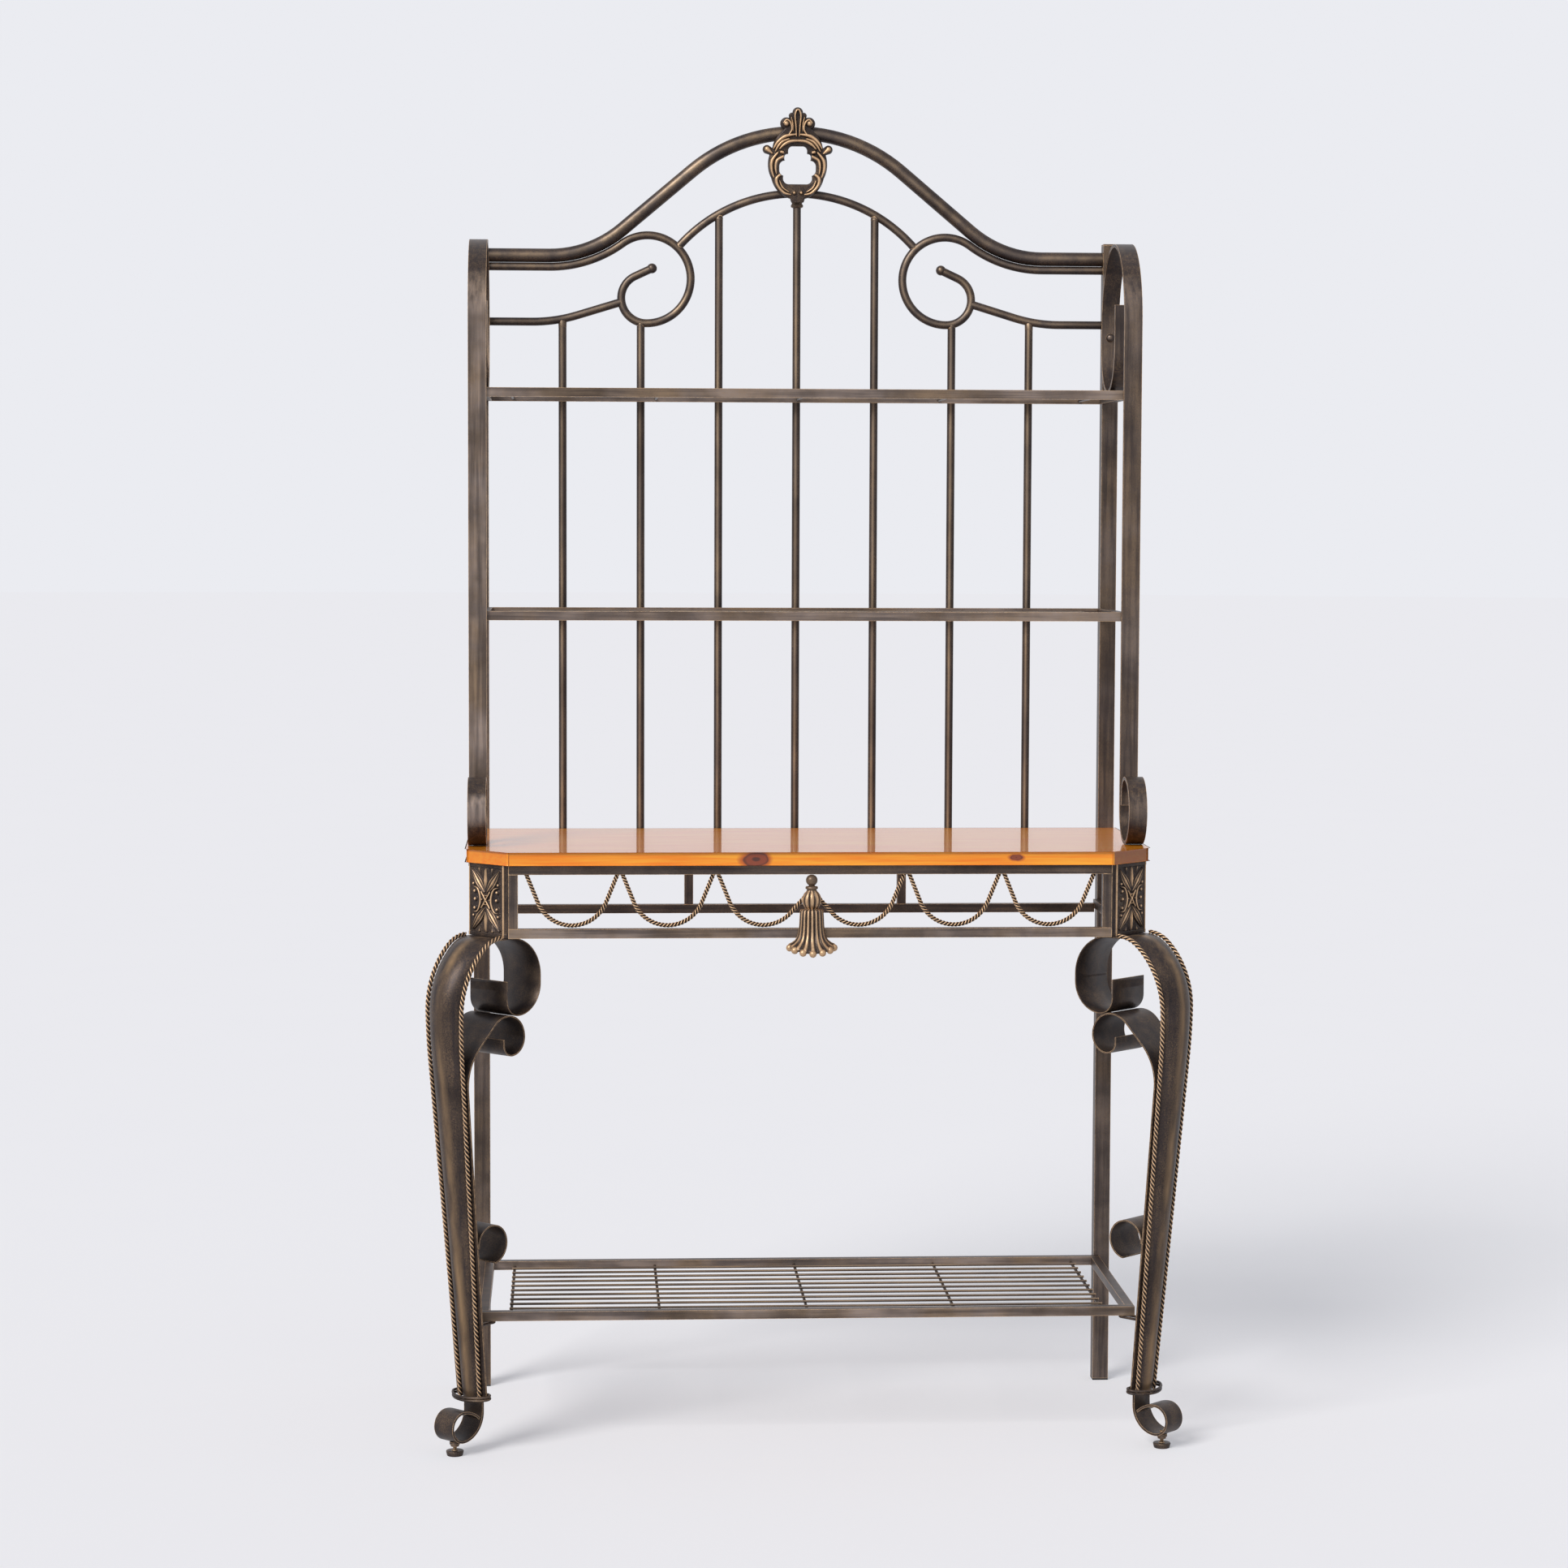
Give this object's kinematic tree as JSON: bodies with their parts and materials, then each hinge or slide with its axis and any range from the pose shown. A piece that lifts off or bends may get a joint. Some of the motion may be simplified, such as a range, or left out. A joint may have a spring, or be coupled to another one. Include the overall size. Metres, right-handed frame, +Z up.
{
  "type": "bakers rack",
  "caption": "Wrought-look bakers rack: wooden counter on scrolled cabriole legs, wire shelves above and below, and an arched crest with a cast cartouche.",
  "frame": {"origin": "middle of the overall bounding box, on the floor plane under the feet", "axes": "+Z up; +X to the viewer's right when facing the front; the front faces -Y"},
  "size_m": [1.1584, 0.5088, 2.0615],
  "materials": {
    "bronze_paint": "dark bronze paint, rubbed along the edges",
    "bronze_highlight": "dark bronze paint, rubbed back to gold on its high spots",
    "screw_steel": "dull bronzed steel",
    "foot_plastic": "black moulded",
    "counter_wood": "glossy lacquered pine"
  },
  "bodies": {
    "rack": {"ankle_rings": "bronze_paint", "apron_uprights": "bronze_paint", "arch_rod": "bronze_paint", "back_rods": "bronze_paint", "bar_bolts": "screw_steel", "cartouche": "bronze_highlight", "corner_casing_left": "bronze_paint", "corner_casing_right": "bronze_paint", "corner_plate_left": "bronze_highlight", "corner_plate_right": "bronze_highlight", "counter_top": "counter_wood", "crest_tube": "bronze_paint", "foot_nuts": "screw_steel", "foot_scroll_left": "bronze_paint", "foot_scroll_right": "bronze_paint", "front_apron_bottom_rail": "bronze_paint", "front_apron_top_rail": "bronze_paint", "hutch_bottom_rail": "bronze_paint", "hutch_post_left": "bronze_paint", "hutch_post_right": "bronze_paint", "leg_back_strip_left": "bronze_paint", "leg_back_strip_right": "bronze_paint", "leg_ring_scroll_left": "bronze_paint", "leg_ring_scroll_right": "bronze_paint", "leg_rope_trims_left": "bronze_highlight", "leg_rope_trims_right": "bronze_highlight", "leg_strip_left": "bronze_paint", "leg_strip_right": "bronze_paint", "lower_shelf_front_rail": "bronze_paint", "lower_shelf_hangers": "bronze_paint", "lower_shelf_rear_rail": "bronze_paint", "lower_shelf_side_rails": "bronze_paint", "lower_shelf_wires": "bronze_paint", "middle_shelf_front_rail": "bronze_paint", "middle_shelf_rear_rail": "bronze_paint", "middle_shelf_side_rails": "bronze_paint", "middle_shelf_wires": "bronze_paint", "post_caps": "bronze_paint", "post_spigots": "bronze_paint", "rear_apron_bottom_rail": "bronze_paint", "rear_apron_top_rail": "bronze_paint", "rear_leg_feet": "foot_plastic", "rear_leg_left": "bronze_paint", "rear_leg_right": "bronze_paint", "rope_swags": "bronze_highlight", "scroll_rod_left": "bronze_paint", "scroll_rod_right": "bronze_paint", "side_apron_rails_left": "bronze_paint", "side_apron_rails_right": "bronze_paint", "side_bar_left": "bronze_paint", "side_bar_right": "bronze_paint", "tassel": "bronze_highlight", "upper_shelf_front_rail": "bronze_paint", "upper_shelf_rear_rail": "bronze_paint", "upper_shelf_side_rails": "bronze_paint", "upper_shelf_wires": "bronze_paint", "wing_rods": "bronze_paint"},
    "left_leveller": {"leveller_left": "screw_steel"},
    "right_leveller": {"leveller_right": "screw_steel"}
  },
  "joints": [
    {"name": "left_leveller_screw", "type": "slide", "parent": "rack", "child": "left_leveller", "axis": [0, 0, 1], "range_m": [-0.006, 0.004]},
    {"name": "right_leveller_screw", "type": "slide", "parent": "rack", "child": "right_leveller", "axis": [0, 0, 1], "range_m": [-0.006, 0.004]}
  ]
}
